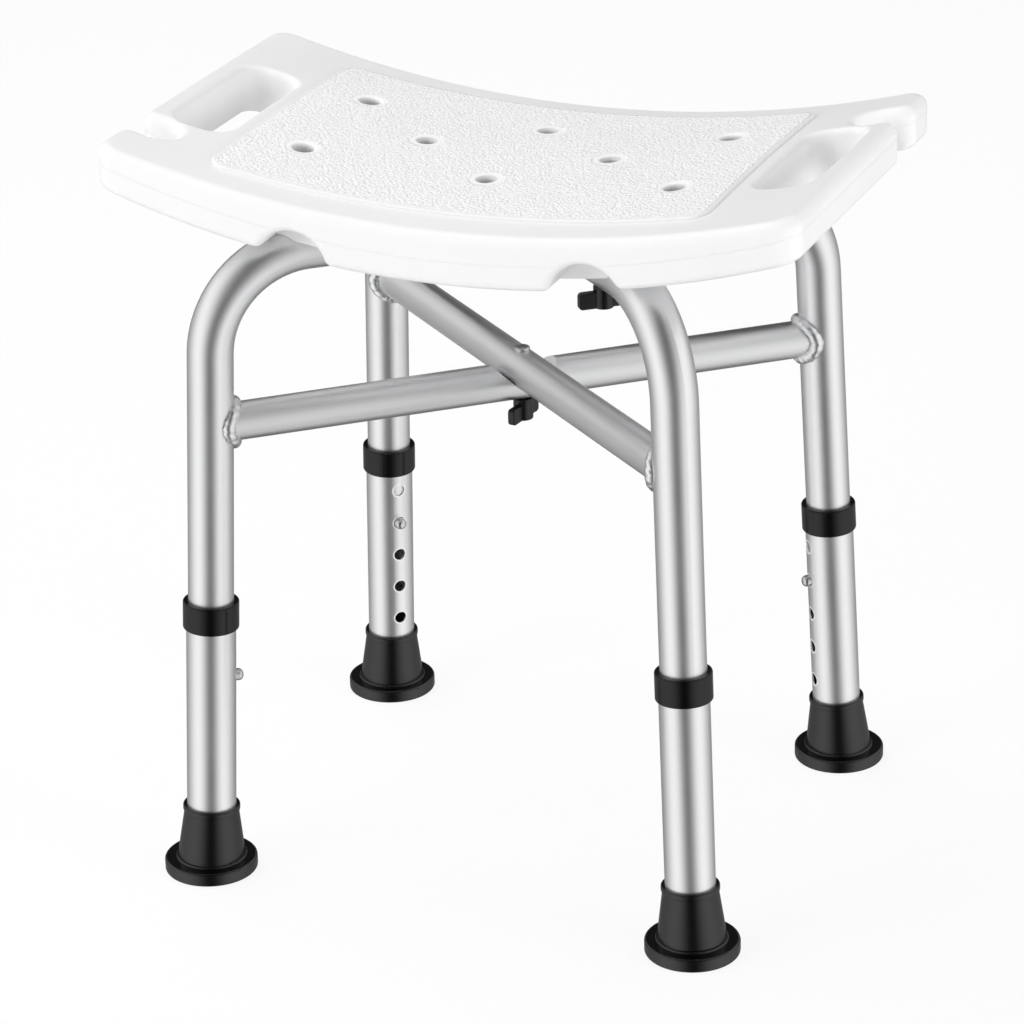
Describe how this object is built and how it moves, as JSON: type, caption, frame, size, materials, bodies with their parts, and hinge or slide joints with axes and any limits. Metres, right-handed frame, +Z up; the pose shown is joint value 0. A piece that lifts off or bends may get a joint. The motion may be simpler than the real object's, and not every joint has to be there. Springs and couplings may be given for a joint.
{
  "type": "shower stool",
  "caption": "Shower stool: curved white plastic seat with drain holes and hand grips on crossed aluminium tube frames with height-adjustable legs and rubber feet.",
  "frame": {"origin": "on the floor under the middle of the seat", "axes": "+Z up, X along the seat, front towards -Y"},
  "size_m": [0.448, 0.3454, 0.4722],
  "materials": {
    "seat_plastic": "satin white moulded polyethylene, stippled panel",
    "tube_aluminium": "satin anodised",
    "weld_aluminium": "rippled weld bead",
    "collar_plastic": "satin black",
    "foot_rubber": "satin black rubber",
    "knob_plastic": "black moulded plastic",
    "button_steel": "polished",
    "bolt_steel": "zinc plated"
  },
  "bodies": {
    "seat_and_frame": {"seat": "seat_plastic", "seat_bolts": "bolt_steel", "lower_frame_tube": "tube_aluminium", "lower_frame_brace": "tube_aluminium", "lower_frame_welds": "weld_aluminium", "upper_frame_tube": "tube_aluminium", "upper_frame_brace": "tube_aluminium", "upper_frame_welds": "weld_aluminium", "cross_bolt": "bolt_steel", "front_left_button_spring": "bolt_steel", "front_right_button_spring": "bolt_steel", "rear_left_button_spring": "bolt_steel", "rear_right_button_spring": "bolt_steel"},
    "front_left_leg": {"front_left_leg_tube": "tube_aluminium", "front_left_leg_collar": "collar_plastic", "front_left_foot": "foot_rubber", "front_left_foot_washer": "bolt_steel"},
    "front_left_button": {"front_left_snap_button": "button_steel"},
    "front_right_leg": {"front_right_leg_tube": "tube_aluminium", "front_right_leg_collar": "collar_plastic", "front_right_foot": "foot_rubber", "front_right_foot_washer": "bolt_steel"},
    "front_right_button": {"front_right_snap_button": "button_steel"},
    "rear_left_leg": {"rear_left_leg_tube": "tube_aluminium", "rear_left_leg_collar": "collar_plastic", "rear_left_foot": "foot_rubber", "rear_left_foot_washer": "bolt_steel"},
    "rear_left_button": {"rear_left_snap_button": "button_steel"},
    "rear_right_leg": {"rear_right_leg_tube": "tube_aluminium", "rear_right_leg_collar": "collar_plastic", "rear_right_foot": "foot_rubber", "rear_right_foot_washer": "bolt_steel"},
    "rear_right_button": {"rear_right_snap_button": "button_steel"},
    "cross_knob": {"cross_knob": "knob_plastic", "cross_knob_nut": "bolt_steel"},
    "front_seat_knob": {"front_seat_knob": "knob_plastic", "front_seat_knob_nut": "bolt_steel"},
    "rear_seat_knob": {"rear_seat_knob": "knob_plastic", "rear_seat_knob_nut": "bolt_steel"}
  },
  "joints": [
    {"name": "front_left_leg_slide", "type": "slide", "parent": "seat_and_frame", "child": "front_left_leg", "axis": [-0.0367, -0.0322, -0.9988], "range_m": [-0.072, 0.024], "deforming": ["front_left_snap_button"]},
    {"name": "front_left_button_press", "type": "slide", "parent": "seat_and_frame", "child": "front_left_button", "axis": [-0.7504, -0.6592, 0.0488], "range_m": [0, 0.006], "stiffness_N_per_m": 2000, "springref_m": -0.002, "deforming": ["front_left_button_spring"]},
    {"name": "front_right_leg_slide", "type": "slide", "parent": "seat_and_frame", "child": "front_right_leg", "axis": [0.0367, -0.0322, -0.9988], "range_m": [-0.072, 0.024], "deforming": ["front_right_snap_button"]},
    {"name": "front_right_button_press", "type": "slide", "parent": "seat_and_frame", "child": "front_right_button", "axis": [0.7504, -0.6592, 0.0488], "range_m": [0, 0.006], "stiffness_N_per_m": 2000, "springref_m": -0.002, "deforming": ["front_right_button_spring"]},
    {"name": "rear_left_leg_slide", "type": "slide", "parent": "seat_and_frame", "child": "rear_left_leg", "axis": [-0.0367, 0.0322, -0.9988], "range_m": [-0.072, 0.024], "deforming": ["rear_left_snap_button"]},
    {"name": "rear_left_button_press", "type": "slide", "parent": "seat_and_frame", "child": "rear_left_button", "axis": [-0.7504, 0.6592, 0.0488], "range_m": [0, 0.006], "stiffness_N_per_m": 2000, "springref_m": -0.002, "deforming": ["rear_left_button_spring"]},
    {"name": "rear_right_leg_slide", "type": "slide", "parent": "seat_and_frame", "child": "rear_right_leg", "axis": [0.0367, 0.0322, -0.9988], "range_m": [-0.072, 0.024], "deforming": ["rear_right_snap_button"]},
    {"name": "rear_right_button_press", "type": "slide", "parent": "seat_and_frame", "child": "rear_right_button", "axis": [0.7504, 0.6592, 0.0488], "range_m": [0, 0.006], "stiffness_N_per_m": 2000, "springref_m": -0.002, "deforming": ["rear_right_button_spring"]},
    {"name": "cross_knob_turn", "type": "hinge", "parent": "seat_and_frame", "child": "cross_knob", "pos_m": [0, 0, 0.289], "axis": [0, 0, 1], "continuous": true},
    {"name": "front_seat_knob_turn", "type": "hinge", "parent": "seat_and_frame", "child": "front_seat_knob", "pos_m": [0.08414, -0.07392, 0.3987], "axis": [0, 0, 1], "continuous": true},
    {"name": "rear_seat_knob_turn", "type": "hinge", "parent": "seat_and_frame", "child": "rear_seat_knob", "pos_m": [-0.08414, 0.07392, 0.3987], "axis": [0, 0, 1], "continuous": true}
  ]
}
